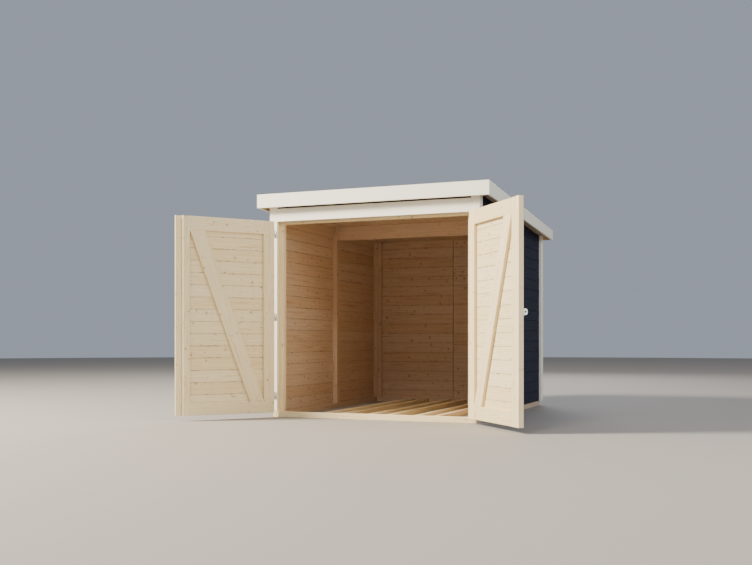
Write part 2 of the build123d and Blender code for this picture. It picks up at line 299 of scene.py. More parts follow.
# brushed waterborne paint on planed spruce: an even satin film, the rings and knots just telling through it
paints = {
    "anthracitePaint": {
        "colour": "#161929", "lifted": "#22263A", "knot": "#0D1017", "edge": 0.20, "sheen": 0.20,
        "roughness": {1: 0.3, 2: 0.7, 3: 0.62, 4: 0.76},
    },
    "warmWhitePaint": {
        "colour": "#F6F1DD", "lifted": "#FAF6E8", "knot": "#E8DFC6", "edge": 0.0, "sheen": 0.5,
        "roughness": {1: 0.3, 2: 0.7, 3: 0.40, 4: 0.52},
    },
}
paintFilm = {
    "brushScale": (2.2, 260.0, 260.0),   # strokes along the board, bristle marks about 4 mm apart
    "cloudScale": 3.5,
    "knot": 0.45,
    "arris": (0.006, 0.0035),            # from the joint's middle, where the wear starts and is full
    "patchy": {1: 0.5, 2: 0.7, 3: 0.0, 4: 1.0},
    "worn": "#3A3E48",
    "lateRelief": 0.35, "relief": (0.3, 0.0006), "ior": 1.48,
}


def paintedSpruce(name):
    p, f = paints[name], paintFilm
    material, tree, shader = newMaterial(name)
    w = spruceNodes(tree)
    marks = noise(tree, w["log"], f["brushScale"], 3.0)
    cloud = noise(tree, w["log"], f["cloudScale"], 3.0)
    coat = tint(tree, calc(tree, "MULTIPLY", marks, cloud), p["colour"], p["lifted"])
    colour = tint(tree, calc(tree, "MULTIPLY", w["knot"], f["knot"]), coat, p["knot"])
    if p["edge"]:
        # paint rubs thin along the arrises of the board joints
        starts, full = (boardPitch / 2 - reach for reach in f["arris"])
        arris = remap(tree, w["aside"], smooth | {1: starts, 2: full, 3: 0.0, 4: p["edge"]})
        rubbed = calc(tree, "MULTIPLY", arris, remap(tree, cloud, f["patchy"]))
        colour = tint(tree, rubbed, colour, f["worn"])
    rough = remap(tree, marks, p["roughness"])
    height = calc(tree, "MULTIPLY_ADD", w["late"], f["lateRelief"], marks)
    dress(tree, shader, f["relief"], height, {"Base Color": colour, "Roughness": rough},
          {"IOR": f["ior"], "Specular IOR Level": p["sheen"]})
    return material


# hot dip zinc on pressed steel: a dull grey metal with a faint frost of crystals
zincLook = {
    "crystal": 0.0045, "crystalShare": 0.5, "cloudScale": 60.0,
    "dark": "#CFCFCD", "light": "#E2E2DF",
    "roughness": {1: 0.0, 2: 1.5, 3: 0.56, 4: 0.40}, "relief": (0.15, 0.0003),
}


def galvanised():
    z = zincLook
    material, tree, shader = newMaterial("galvanisedSteel")
    place = addNode(tree, "ShaderNodeTexCoord").outputs["Object"]
    frost = cells(tree, place, 1 / z["crystal"])[1]
    cloud = noise(tree, place, z["cloudScale"], 4.0)
    blend = calc(tree, "MULTIPLY_ADD", frost, z["crystalShare"], cloud)
    colour = tint(tree, blend, z["dark"], z["light"])
    rough = remap(tree, blend, z["roughness"])
    dress(tree, shader, z["relief"], cloud, {"Base Color": colour, "Roughness": rough}, {"Metallic": 1.0})
    return material


# slate granules rolled into bitumen: matt and sandy, grey stones of slightly different tone
mineralLook = {
    "granule": 0.0026,         # the real ones are about a millimetre, drawn coarser so that they show
    "granuleShare": 0.7, "patchScale": 2.6, "shift": 0.35,
    "dark": "#2B2C2E", "light": "#5A5B5C", "roughness": 0.93, "relief": (0.8, 0.0012),
}


def mineralFelt():
    m = mineralLook
    material, tree, shader = newMaterial("mineralRoofingFelt")
    place = addNode(tree, "ShaderNodeTexCoord").outputs["Object"]
    stones, tones = cells(tree, place, 1 / m["granule"])
    patches = noise(tree, place, m["patchScale"], 5.0)
    mixed = calc(tree, "MULTIPLY_ADD", tones, m["granuleShare"], patches)
    colour = tint(tree, calc(tree, "SUBTRACT", mixed, m["shift"]), m["dark"], m["light"])
    dress(tree, shader, m["relief"], stones.outputs["Distance"], {"Base Color": colour},
          {"Roughness": m["roughness"]})
    return material


# a lit copy of the planed spruce, and a copy of it with painted shade
litSpruce = bareSpruce("litPaleSpruce")
shadedSpruce = bareSpruce("shadedHoneySpruce")
anthracite = paintedSpruce("anthracitePaint")
warmWhite = paintedSpruce("warmWhitePaint")
zinc = galvanised()
felt = mineralFelt()
print("materials ready")


# each leaf is modelled shut and then swung to the place it rests in
def turn(joint, way):
    pivot = Matrix.Translation(Vector(joint["pos_m"]))
    angle = way * math.radians(joint["range_deg"][1])
    return pivot @ Matrix.Rotation(angle, 4, Vector(joint["axis"])) @ pivot.inverted()


toShut = {"shelter": Matrix.Identity(4)}
toRest = {"shelter": Matrix.Identity(4)}
for joint in frame["joints"]:
    toShut[joint["child"]] = turn(joint, 1)
    toRest[joint["child"]] = turn(joint, -1)


def shutBox(node, body):
    spots = [toShut[body] @ v.co for v in frame["nodes"][node].data.vertices]
    return [Vector(pick(s[i] for s in spots) for i in range(3)) for pick in (min, max)]


def addPiece(name, mesh, body, slot, *nodes):
    piece = newObject(name, mesh)
    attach(piece, body)
    if nodes:
        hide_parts(*nodes)
    return piece


def runTree(tree, base, values):
    holder = newObject("holder", base)
    modifier = holder.modifiers.new("build", "NODES")
    modifier.node_group = tree
    sockets = {s.name: s.identifier for s in tree.interface.items_tree
               if s.item_type == "SOCKET" and s.in_out == "INPUT"}
    for key, value in values.items():
        modifier[sockets[key]] = value
    bpy.context.view_layer.update()
    graph = bpy.context.evaluated_depsgraph_get()
    mesh = bpy.data.meshes.new_from_object(holder.evaluated_get(graph), depsgraph=graph)
    bpy.data.objects.remove(holder)
    return mesh


# tongued boards: one section, repeated in rows
boardSection = {
    "vGroove": 0.0034,       # chamfer on the weather side
    "innerArris": 0.0009,
    "gap": 0.0010,
    "tongue": (0.40, 0.64),  # share of the thickness
    "tongueHigh": 0.006,
    "slack": 0.0003,         # room beside the tongue, and above it
    "headroom": 0.001,
}


def boardBlank(name, thickness, vGroove):
    s = boardSection
    low, high = s["gap"] / 2, boardPitch - s["gap"] / 2
    a, b = (share * thickness for share in s["tongue"])
    slack, c, v, t, h = s["slack"], s["innerArris"], vGroove, thickness, s["tongueHigh"]
    tip = high + h - s["headroom"]
    outline = [
        (0, low + v), (v, low), (a - slack, low), (a - slack, low + h), (b + slack, low + h),
        (b + slack, low), (t - c, low), (t, low + c), (t, high - c), (t - c, high), (b, high), (b, tip),
        (a, tip), (a, high), (v, high), (0, high - v),
    ]
    bm = bmesh.new()
    near = [bm.verts.new((0, y, z)) for y, z in outline]
    far = [bm.verts.new((1, y, z)) for y, z in outline]
    count = len(outline)
    weather = bm.faces.layers.bool.new("weatherSide")
    for i in range(count):
        k = (i + 1) % count
        side = bm.faces.new((near[k], near[i], far[i], far[k]))
        side[weather] = i < 3 or i > count - 5   # the outline runs from the weather side, and back to it
    bm.faces.new(near)
    bm.faces.new(reversed(far))
    bmesh.ops.recalc_face_normals(bm, faces=bm.faces)
    return bpy.data.objects.new(name, newMesh(bm, name))


def newTree(name, inputs):
    tree = bpy.data.node_groups.new(name, "GeometryNodeTree")
    tree.interface.new_socket("Geometry", in_out="INPUT", socket_type="NodeSocketGeometry")
    for label, kind in inputs.items():
        tree.interface.new_socket(label, in_out="INPUT", socket_type="NodeSocket" + kind)
    tree.interface.new_socket("Geometry", in_out="OUTPUT", socket_type="NodeSocketGeometry")
    return tree, addNode(tree, "NodeGroupInput").outputs


def rowsTree():
    tree, given = newTree("rowsOfBoards", {
        "Board": "Object", "Length": "Float", "Pitch": "Float", "Rows": "Int", "Seed": "Int",
        "Inside": "Material", "Weather side": "Material",
    })
    step = addNode(tree, "ShaderNodeCombineXYZ", links={2: given["Pitch"]})
    line = addNode(tree, "GeometryNodeMeshLine", {"mode": "OFFSET"},
                   {"Count": given["Rows"], "Offset": step})
    blank = addNode(tree, "GeometryNodeObjectInfo", links={"Object": given["Board"]})
    size = addNode(tree, "ShaderNodeCombineXYZ", {1: 1.0, 2: 1.0}, {0: given["Length"]})
    rows = addNode(tree, "GeometryNodeInstanceOnPoints",
                   links={"Points": line, "Instance": blank.outputs["Geometry"],
                          "Scale": size})
    dice = addNode(tree, "FunctionNodeRandomValue", {"data_type": "FLOAT"}, {"Seed": given["Seed"]})
    marked = addNode(tree, "GeometryNodeStoreNamedAttribute",
                     {"data_type": "FLOAT", "domain": "INSTANCE", "Name": "boardSeed"},
                     {"Geometry": rows, "Value": dice.outputs["Value"]})
    solid = addNode(tree, "GeometryNodeRealizeInstances", links={0: marked})
    inside = addNode(tree, "GeometryNodeSetMaterial",
                     links={"Geometry": solid, "Material": given["Inside"]})
    outer = addNode(tree, "GeometryNodeInputNamedAttribute", {"data_type": "BOOLEAN", "Name": "weatherSide"})
    coated = addNode(tree, "GeometryNodeSetMaterial",
                     links={"Geometry": inside, "Material": given["Weather side"],
                            "Selection": outer.outputs["Attribute"]})
    addNode(tree, "NodeGroupOutput", links={0: coated})
    return tree


# metres within which two spots or lengths count as one, the turn that still counts as flat, the share of
# an area that counts as all of it, the gap between separate pieces, and how squarely a face looks some way
tolerance = {"cut": 1e-6, "edge": 1e-5, "weld": 2e-5, "level": 0.001, "flat": math.radians(0.4),
             "area": 0.999, "gap": 0.1}
cosine = {"half": 0.5, "end": 0.7, "square": 0.9}


def cut(bm, point, normal, capMaterial):
    parts = bm.verts[:] + bm.edges[:] + bm.faces[:]
    bmesh.ops.bisect_plane(bm, geom=parts, dist=tolerance["cut"], plane_co=point, plane_no=normal,
                           clear_outer=True)
    rim = [e for e in bm.edges if e.is_boundary]
    for face in bmesh.ops.holes_fill(bm, edges=rim, sides=0)["faces"]:
        face.material_index = capMaterial
    bmesh.ops.recalc_face_normals(bm, faces=bm.faces)


boardRows = rowsTree()
boardNails = {"shares": (0.24, 0.76), "fromEdge": 0.010}   # two to a board, and none too near a cut
nailSpots = {"shelter": [], "left_leaf": [], "right_leaf": []}


def boardWall(name, node, body, slot, sizes, place, seamAt, heights, cuts, finishes, nailLines=(),
              vGroove=None):
    # place carries the row's own frame, x along, y inwards and z up, to the shut frame
    length, thickness = sizes
    low, high = heights
    inside, weather = finishes
    start = seamAt - math.ceil((seamAt - low) / boardPitch) * boardPitch
    rows = math.ceil((high - start) / boardPitch)
    place = place @ Matrix.Translation((0, 0, start))
    blank = boardBlank(name + "Blank", thickness, vGroove or boardSection["vGroove"])
    values = {"Board": blank, "Length": length, "Pitch": boardPitch, "Rows": rows,
              "Seed": chance.randrange(9999), "Inside": inside, "Weather side": weather}
    mesh = runTree(boardRows, bpy.data.meshes.new("empty"), values)
    bpy.data.objects.remove(blank)
    capMaterial = mesh.materials.find(inside.name)
    bm = bmesh.new()
    bm.from_mesh(mesh)
    back = place.inverted()
    ownCuts = [(back @ Vector(point), back.to_3x3() @ Vector(normal)) for point, normal in cuts]
    for point, normal in ownCuts:
        cut(bm, point, normal, capMaterial)
    grain = bm.verts.layers.float_vector.new("grainPos")
    jointed = bm.verts.layers.float.new("jointed")
    half = bm.verts.layers.float.new("halfWide")
    for v in bm.verts:
        row = math.floor(v.co.z / boardPitch)
        v[grain] = (v.co.x, v.co.y, v.co.z - (row + 0.5) * boardPitch)
        v[jointed] = 1.0
        v[half] = boardPitch / 2
    ends = bm.faces.layers.float.new("endFace")
    for face in bm.faces:
        face[ends] = 1.0 if abs(face.normal.x) > cosine["end"] else 0.0
    bm.to_mesh(mesh)
    turned = toRest[body] @ place
    mesh.transform(turned)

    # each board gets two nails on every nail line it is given
    outward = turned.to_3x3() @ Vector((0, -1, 0))
    for row in range(rows):
        for x in nailLines:
            for share in boardNails["shares"]:
                spot = Vector((x, 0, (row + share) * boardPitch))
                if all((spot - point).dot(normal) < -boardNails["fromEdge"] for point, normal in ownCuts):
                    nailSpots[body].append((turned @ spot, outward))
    return addPiece(name, mesh, body, slot, node)


def topOf(node):
    # the sloping cut that the roof gives this panel
    spots = [v.co for v in frame["nodes"][node].data.vertices]
    low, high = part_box(node)
    ends = [(y, max(s.z for s in spots if abs(s.y - y) < tolerance["level"])) for y in (low.y, high.y)]
    slope = (ends[1][1] - ends[0][1]) / (ends[1][0] - ends[0][0])
    return (0, ends[0][0], ends[0][1]), Vector((0, -slope, 1)).normalized()


def wallCuts(node):
    # the roof's slope above and the panel's own foot below
    return [topOf(node), ((0, 0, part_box(node)[0].z), (0, 0, -1))]


wallLook = {
    "wallSeam": 0.0463,        # the lowest joint, level with the top of the base beams
    "backSeam": 0.1260,
    "panelJoint": 0.0006,      # hairline between two panels
    "backJoint": 0.009,        # dark joint that stays open inside where the two back panels meet
    "leafSeam": {"left": 1.3628, "right": 1.3631},
    "nailInset": 0.014,
    "stileNail": 0.042,        # from the leaf's edge to the nails along its stiles
}
# the inside faces of the walls take the spruce copy with painted shade
wallFinishes = (shadedSpruce, anthracite)
for side, name in ((-1, "left"), (1, "right")):
    for part in ("front", "rear"):
        node = f"{name}_wall_{part}_panel"
        low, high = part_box(node)
        outer = low.x if side < 0 else high.x
        length = high.y - low.y - wallLook["panelJoint"]
        corner = Vector((outer, high.y if side < 0 else low.y + wallLook["panelJoint"], 0))
        place = Matrix.Translation(corner) @ Matrix.Rotation(side * math.pi / 2, 4, "Z")
        # both panels are nailed to the stud they share
        atStart = (part == "front") == (side < 0)
        line = wallLook["nailInset"] if atStart else length - wallLook["nailInset"]
        boardWall(f"{name}{part.title()}WallBoards", node, "shelter", "dark_boards",
                  (length, high.x - low.x), place, wallLook["wallSeam"], (low.z, high.z), wallCuts(node),
                  wallFinishes, [line])
    node = f"back_wall_{name}_panel"
    low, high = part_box(node)
    start = high.x - (wallLook["backJoint"] if side < 0 else 0)
    place = Matrix.Translation((start, high.y, 0)) @ Matrix.Rotation(math.pi, 4, "Z")
    studs = [v.co.x for v in frame["nodes"]["back_studs"].data.vertices if v.co.x * side > 0]
    boardWall(f"back{name.title()}WallBoards", node, "shelter", "dark_boards",
              (start - low.x, high.y - low.y), place, wallLook["backSeam"], (low.z, high.z), wallCuts(node),
              wallFinishes, [start - (min(studs) + max(studs)) / 2])

node = "front_wall_head_panel"
low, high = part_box(node)
boardWall("frontHeadBoards", node, "shelter", "dark_boards", (high.x - low.x, high.y - low.y),
          Matrix.Translation((low.x, low.y, 0)), low.z, (low.z, high.z), wallCuts(node), wallFinishes)

for name in ("left", "right"):
    node, body = f"{name}_leaf_boards", f"{name}_leaf"
    low, high = shutBox(node, body)
    stiles = shutBox(f"{name}_leaf_stiles", body)
    lines = [stiles[0].x - low.x + wallLook["stileNail"], stiles[1].x - low.x - wallLook["stileNail"]]
    cuts = [((0, 0, high.z), (0, 0, 1)), ((0, 0, low.z), (0, 0, -1))]
    boardWall(f"{name}LeafBoards", node, body, "dark_boards", (high.x - low.x, high.y - low.y),
              Matrix.Translation((low.x, low.y, 0)), wallLook["leafSeam"][name], (low.z, high.z), cuts,
              (litSpruce, anthracite), lines)
print("walls and leaves boarded")


# sawn and planed timbers: copies of the fixed frame's solids with their grain laid along them
def islands(bm):
    left = set(bm.verts)
    while left:
        group, edge = set(), [min(left, key=lambda v: v.index)]
        while edge:
            v = edge.pop()
            if v not in group:
                group.add(v)
                edge += [e.other_vert(v) for e in v.link_edges]
        left -= group
        yield group


def layGrain(bm):
    bm.verts.index_update()
    bm.normal_update()
    grain = bm.verts.layers.float_vector.new("grainPos")
    seeds = bm.verts.layers.float.new("boardSeed")
    half = bm.verts.layers.float.new("halfWide")
    ends = bm.faces.layers.float.new("endFace")
    for group in islands(bm):
        edges = {e for v in group for e in v.link_edges}
        faces = {f for v in group for f in v.link_faces}
        longest = max(e.calc_length() for e in edges) - tolerance["edge"]
        along = min((e for e in edges if e.calc_length() > longest), key=lambda e: e.verts[0].index)
        along = (along.verts[1].co - along.verts[0].co).normalized()
        broadest = max(f.calc_area() for f in faces) * tolerance["area"]
        broad = min((f for f in faces if f.calc_area() > broadest), key=lambda f: f.verts[0].index)
        across = along.cross(broad.normal).normalized()
        through = across.cross(along).normalized()
        centre = sum((v.co for v in sorted(group, key=lambda v: v.index)), Vector()) / len(group)
        seed = chance.random()
        halfWide = max(abs((v.co - centre).dot(across)) for v in group)
        for v in group:
            p = v.co - centre
            v[grain] = (p.dot(along), p.dot(through), p.dot(across))
            v[seeds] = seed
            v[half] = halfWide
        for face in faces:
            face[ends] = 1.0 if abs(face.normal.dot(along)) > cosine["end"] else 0.0


def timberCopy(node):
    bm = bmesh.new()
    bm.from_mesh(frame["nodes"][node].data)
    bmesh.ops.remove_doubles(bm, verts=bm.verts, dist=tolerance["weld"])
    bmesh.ops.dissolve_limit(bm, angle_limit=tolerance["flat"], verts=bm.verts, edges=bm.edges)
    return bm


def camel(node):
    first, *rest = node.split("_")
    return first + "".join(word.title() for word in rest)


def timber(node, body, slot, finishes, pick=None):
    bm = timberCopy(node)
    layGrain(bm)
    for face in bm.faces:
        face.material_index = pick(toShut[body].to_3x3() @ face.normal) if pick else 0
    return addPiece(camel(node), newMesh(bm, camel(node), finishes), body, slot, node)


tracks = ["wheel_track_left", "wheel_track_middle", "wheel_track_right"]
# timbers under the roof take the spruce copy with painted shade; doorway, sill, tracks and leaves take the
# lit copy
for node in ["back_base_beam", "side_base_beams", "rear_corner_posts", "side_studs", "back_studs",
             "roof_purlin"]:
    timber(node, "shelter", "bare_spruce", [shadedSpruce])
for node in ["front_sill", "door_posts", "door_head", "door_reveal_strips"] + tracks:
    timber(node, "shelter", "bare_spruce", [litSpruce])
for name in ("left", "right"):
    for part in ("stiles", "rails", "brace"):
        timber(f"{name}_leaf_{part}", f"{name}_leaf", "bare_spruce", [litSpruce])

# the painted boards are bare on the side that is turned to the shed
fasciaOut = {
    "front_fascia": (0, -1, 0), "back_fascia": (0, 1, 0),
    "left_fascia": (-1, 0, 0), "right_fascia": (1, 0, 0),
}
# the fascia faces turned to the shed take the spruce copy with painted shade
for node, out in fasciaOut.items():
    timber(node, "shelter", "white_trim", [warmWhite, shadedSpruce],
           lambda normal, out=Vector(out): 1 if normal.dot(out) < -cosine["square"] else 0)
timber("lintel_board", "shelter", "white_trim", [warmWhite])
for node, body in (("left_leaf_closing_board", "left_leaf"), ("right_leaf_meeting_post", "right_leaf")):
    timber(node, body, "dark_boards", [litSpruce, anthracite],
           lambda normal: 1 if normal.y < -cosine["half"] else 0)


# corner trims: a face board nailed over the edge of a narrower return
cornerTrim = {"thickness": 0.022, "joint": 0.0006, "setBack": 0.0006, "arris": 0.0025}
for end, faceSide in (("front", -1), ("back", 1)):
    for name in ("left", "right"):
        node = f"{end}_{name}_corner_trim"
        low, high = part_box(node)
        faceBack = (low.y + cornerTrim["thickness"]) if faceSide < 0 else (high.y - cornerTrim["thickness"])
        bm = timberCopy(node)
        other = bm.copy()
        cut(bm, Vector((0, faceBack, 0)), Vector((0, -faceSide, 0)), 0)
        cut(other, Vector((0, faceBack - faceSide * cornerTrim["joint"], 0)), Vector((0, faceSide, 0)), 0)
        outer = low.x if name == "left" else high.x
        for v in other.verts:
            if abs(v.co.x - outer) < cornerTrim["arris"]:
                v.co.x -= math.copysign(cornerTrim["setBack"], outer)
        returnBoard = newMesh(other, "returnBoard")
        bm.from_mesh(returnBoard)
        bpy.data.meshes.remove(returnBoard)
        layGrain(bm)
        addPiece(camel(node), newMesh(bm, camel(node), [warmWhite]), "shelter", "white_trim", node)


# a planed strip closes the joint of the two back panels from outside
fillerStrip = {"thickness": 0.008, "overlap": 0.0003, "setBack": 0.001, "topGap": 0.004, "arris": 0.0008}
low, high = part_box("back_wall_left_panel")
top = topOf("back_wall_left_panel")[0][2] - fillerStrip["topGap"]
corners = (
    (-wallLook["backJoint"] - fillerStrip["overlap"], high.y - fillerStrip["thickness"], low.z),
    (fillerStrip["overlap"], high.y - fillerStrip["setBack"], top),
)
bm = bmesh.new()
bmesh.ops.create_cube(bm, size=1)
for v in bm.verts:
    v.co = [corners[v.co[i] > 0][i] for i in range(3)]
bmesh.ops.bevel(bm, geom=bm.edges[:], offset=fillerStrip["arris"], segments=1, affect="EDGES")
layGrain(bm)
for face in bm.faces:
    face.material_index = 1 if face.normal.y > cosine["half"] else 0
addPiece("backJointFiller", newMesh(bm, "backJointFiller", wallFinishes), "shelter", "dark_boards")
print("timbers dressed")


# roof: boards run with the fall, felt lies across them in lapped sheets
roofLook = {"boardThick": 0.019, "underFelt": 0.0004, "vGroove": 0.002, "endGap": 0.0015}
low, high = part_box("roof_boards")
roofPoint, roofUp = topOf("roof_boards")
fall = math.atan2(-roofUp.y, roofUp.z)
length = (high.y - low.y) / math.cos(fall) - 2 * roofLook["endGap"]
# row frame: x down the slope, y up through the board (the face seen from inside is y = 0), z to the side
slope = Matrix.Rotation(-abs(fall), 4, "X")
underside = Vector((0, roofPoint[1] + roofLook["endGap"], roofPoint[2] - roofLook["boardThick"]))
axes = Matrix(((0, 0, 1, 0), (1, 0, 0, 0), (0, 1, 0, 0), (0, 0, 0, 1)))
# the roof boards take the spruce copy with painted shade on both sides
boardWall("roofBoards", "roof_boards", "shelter", "bare_spruce",
          (length, roofLook["boardThick"] - roofLook["underFelt"]),
          Matrix.Translation(underside) @ slope @ axes, 0.0, (low.x, high.x),
          [((high.x, 0, 0), (1, 0, 0)), ((low.x, 0, 0), (-1, 0, 0))], (shadedSpruce, shadedSpruce), (),
          roofLook["vGroove"])

feltLook = {
    "sheets": 3, "lap": 0.08, "thick": 0.0028, "ripple": 0.0006,
    "slab": 0.003,             # thickness of the solid that the sheets stand for
    "lift": 0.0001, "lapLift": 0.0002, "lapStart": 0.03,
    "endInset": 0.0006, "sideInset": 0.0005,
    "along": 14, "across": 30,
    "cloutSpacing": 0.075, "cloutInset": 0.02,
    "sharpEdge": 0.6,          # radians
}
low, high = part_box("roof_felt")
feltPoint, feltUp = topOf("roof_felt")
downSlope = Vector((0, feltUp.z, -feltUp.y))
feltBase = Vector(feltPoint) - feltUp * feltLook["slab"] + downSlope * feltLook["endInset"]
feltLong = (high.y - low.y) / downSlope.y - 2 * feltLook["endInset"]
sheetLong = (feltLong + (feltLook["sheets"] - 1) * feltLook["lap"]) / feltLook["sheets"]
cloutSpots = []
bm = bmesh.new()
rowsAlong, rowsAcross = feltLook["along"], feltLook["across"]


def acrossFelt(inset, share):
    return low.x + inset + (high.x - low.x - 2 * inset) * share


for sheet in range(feltLook["sheets"]):
    # the lowest sheet lies at the back, and each next one laps over it
    start = feltLong - sheetLong - sheet * (sheetLong - feltLook["lap"])
    grid = []
    for i in range(rowsAlong + 1):
        down = start + sheetLong * i / rowsAlong
        onLap = sheet and down > start + sheetLong - feltLook["lap"] - feltLook["lapStart"]
        raised = feltLook["lift"] + (feltLook["thick"] + feltLook["lapLift"] if onLap else 0.0)
        line = []
        for j in range(rowsAcross + 1):
            x = acrossFelt(feltLook["sideInset"], j / rowsAcross)
            free = 0 < i < rowsAlong and 0 < j < rowsAcross
            ripple = chance.uniform(0, feltLook["ripple"]) if free else 0.0
            line.append(feltBase + downSlope * down + feltUp * (raised + ripple) + Vector((x, 0, 0)))
        grid.append(line)
    under, over = ([[bm.verts.new(p + feltUp * lift) for p in line] for line in grid]
                   for lift in (0.0, feltLook["thick"]))
    for i in range(rowsAlong):
        for j in range(rowsAcross):
            bm.faces.new((over[i][j], over[i][j + 1], over[i + 1][j + 1], over[i + 1][j]))
            bm.faces.new((under[i][j], under[i + 1][j], under[i + 1][j + 1], under[i][j + 1]))
    for i in range(rowsAlong):
        for j in (0, rowsAcross):
            bm.faces.new((under[i][j], over[i][j], over[i + 1][j], under[i + 1][j]))
    for j in range(rowsAcross):
        for i in (0, rowsAlong):
            bm.faces.new((under[i][j], over[i][j], over[i][j + 1], under[i][j + 1]))
    count = int((high.x - low.x) / feltLook["cloutSpacing"])
    down = start + sheetLong - feltLook["cloutInset"]
    lift = (2 if sheet else 1) * (feltLook["thick"] + feltLook["lapLift"])
    for j in range(count + 1):
        x = acrossFelt(feltLook["cloutInset"], j / count)
        cloutSpots.append((feltBase + downSlope * down + feltUp * lift + Vector((x, 0, 0)), feltUp))
bmesh.ops.recalc_face_normals(bm, faces=bm.faces)
for face in bm.faces:
    face.smooth = True
for e in bm.edges:
    e.smooth = e.calc_face_angle(0) < feltLook["sharpEdge"]
addPiece("roofFeltSheets", newMesh(bm, "roofFeltSheets", [felt]), "shelter", "roofing_felt", "roof_felt")
print("roof boarded and felted")


# nails and screws: one head each, set on every spot by the same tree
# the rings of a head are its radius and height, from the rim up to the crown
fastenerHeads = {
    # round wire nail, 4 mm head driven flush
    "nail": {"rings": ((0.0021, -0.0004), (0.0021, 0.0002), (0.0012, 0.0005)), "segments": 8},
    # felt clout, 8 mm flat head
    "clout": {"rings": ((0.0040, -0.0004), (0.0040, 0.0005), (0.0026, 0.0009)), "segments": 10},
    # countersunk screw, 8 mm head just proud of the plate with a cross in it
    "screw": {"rings": ((0.0042, -0.0003), (0.0042, 0.0004), (0.0036, 0.0009), (0.0020, 0.0010),
                        (0.0013, 0.0002)), "segments": 16, "crossReach": 0.0021, "crossWaist": 0.42},
}


def headOf(kind):
    look = fastenerHeads[kind]
    segments = look["segments"]
    bm = bmesh.new()
    loops = []
    for radius, height in look["rings"]:
        loop = []
        for k in range(segments):
            inCross = radius <= look.get("crossReach", 0) and k % (segments // 4)
            r = radius * (look["crossWaist"] if inCross else 1)
            angle = 2 * math.pi * k / segments
            loop.append(bm.verts.new((r * math.cos(angle), r * math.sin(angle), height)))
        loops.append(loop)
    for lower, upper in zip(loops, loops[1:]):
        for k in range(segments):
            n = (k + 1) % segments
            bm.faces.new((lower[k], lower[n], upper[n], upper[k]))
    bm.faces.new(loops[-1])
    bm.faces.new(reversed(loops[0]))
    bmesh.ops.recalc_face_normals(bm, faces=bm.faces)
    return bpy.data.objects.new(kind, newMesh(bm, kind))


def fastenerTree():
    tree, given = newTree("fastenersOnSpots", {"Head": "Object", "Seed": "Int", "Finish": "Material"})
    head = addNode(tree, "GeometryNodeObjectInfo", links={"Object": given["Head"]})
    facing = addNode(tree, "GeometryNodeInputNamedAttribute",
                     {"data_type": "FLOAT_VECTOR", "Name": "facing"})
    upright = addNode(tree, "FunctionNodeAlignRotationToVector", {"axis": "Z"},
                      {"Vector": facing.outputs["Attribute"]})
    dice = addNode(tree, "FunctionNodeRandomValue", {"data_type": "FLOAT", 3: math.pi},
                   {"Seed": given["Seed"]})
    angle = addNode(tree, "ShaderNodeCombineXYZ", links={2: dice.outputs["Value"]})
    spin = addNode(tree, "FunctionNodeEulerToRotation", links={0: angle})
    turned = addNode(tree, "FunctionNodeRotateRotation", {"rotation_space": "LOCAL"}, {0: upright, 1: spin})
    heads = addNode(tree, "GeometryNodeInstanceOnPoints",
                    links={"Points": given["Geometry"], "Instance": head.outputs["Geometry"],
                           "Rotation": turned})
    solid = addNode(tree, "GeometryNodeRealizeInstances", links={0: heads})
    done = addNode(tree, "GeometryNodeSetMaterial", links={"Geometry": solid, "Material": given["Finish"]})
    addNode(tree, "NodeGroupOutput", links={0: done})
    return tree


headsOnSpots = fastenerTree()


def fasten(name, kind, spots, body, slot, finish):
    head = headOf(kind)
    base = bpy.data.meshes.new(name + "Spots")
    base.from_pydata([tuple(place) for place, out in spots], [], [])
    facing = base.attributes.new("facing", "FLOAT_VECTOR", "POINT")
    for i, (place, out) in enumerate(spots):
        facing.data[i].vector = out
    mesh = runTree(headsOnSpots, base, {"Head": head, "Seed": chance.randrange(9999), "Finish": finish})
    bpy.data.objects.remove(head)
    return addPiece(name, mesh, body, slot)


def levels(node):
    # the heights that a node's separate pieces reach over, from the lowest up
    heights = sorted(v.co.z for v in frame["nodes"][node].data.vertices)
    groups = [[heights[0]]]
    for z in heights:
        if z - groups[-1][-1] > tolerance["gap"]:
            groups.append([])
        groups[-1].append(z)
    return [(group[0], group[-1]) for group in groups]


# two screws through each bracket plate, outboard of its web, four through each strap and four at the eye
hingeScrewing = {
    "plate": 0.003, "outboard": 0.0125, "fromEnd": 0.010,
    "strap": ((0.032, 0.006), (0.078, -0.006), (0.124, 0.006), (0.170, -0.006)),  # from the pin, and up
    "eyePlate": 0.004, "eyeHeights": (-0.036, 0.036), "eyeSides": (0.012, 0.008),
}


def hingeScrews():
    h = hingeScrewing
    forward = Vector((0, -1, 0))
    spots = {"shelter": [], "left_leaf": [], "right_leaf": []}
    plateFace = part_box("front_left_corner_trim")[0].y - h["plate"]
    for side, name in ((-1, "left"), (1, "right")):
        body = name + "_leaf"
        out = toRest[body].to_3x3() @ forward
        pivot = next(Vector(joint["pos_m"]) for joint in frame["joints"] if joint["child"] == body)
        for bottom, top in levels("hinge_brackets"):
            for z in (bottom + h["fromEnd"], top - h["fromEnd"]):
                spots["shelter"].append((Vector((pivot.x + side * h["outboard"], plateFace, z)), forward))
        strapFace = shutBox(body + "_hinge_straps", body)[0].y
        for bottom, top in levels(body + "_hinge_straps"):
            for reach, rise in h["strap"]:
                spot = Vector((pivot.x - side * reach, strapFace, (bottom + top) / 2 + rise))
                spots[body].append((toRest[body] @ spot, out))
    low, high = shutBox("padlock_eye", "right_leaf")
    baseFace = shutBox("right_leaf_boards", "right_leaf")[0].y - h["eyePlate"]
    out = toRest["right_leaf"].to_3x3() @ forward
    for rise in h["eyeHeights"]:
        for x in (low.x + h["eyeSides"][0], high.x - h["eyeSides"][1]):
            spot = Vector((x, baseFace, (low.z + high.z) / 2 + rise))
            spots["right_leaf"].append((toRest["right_leaf"] @ spot, out))
    return spots


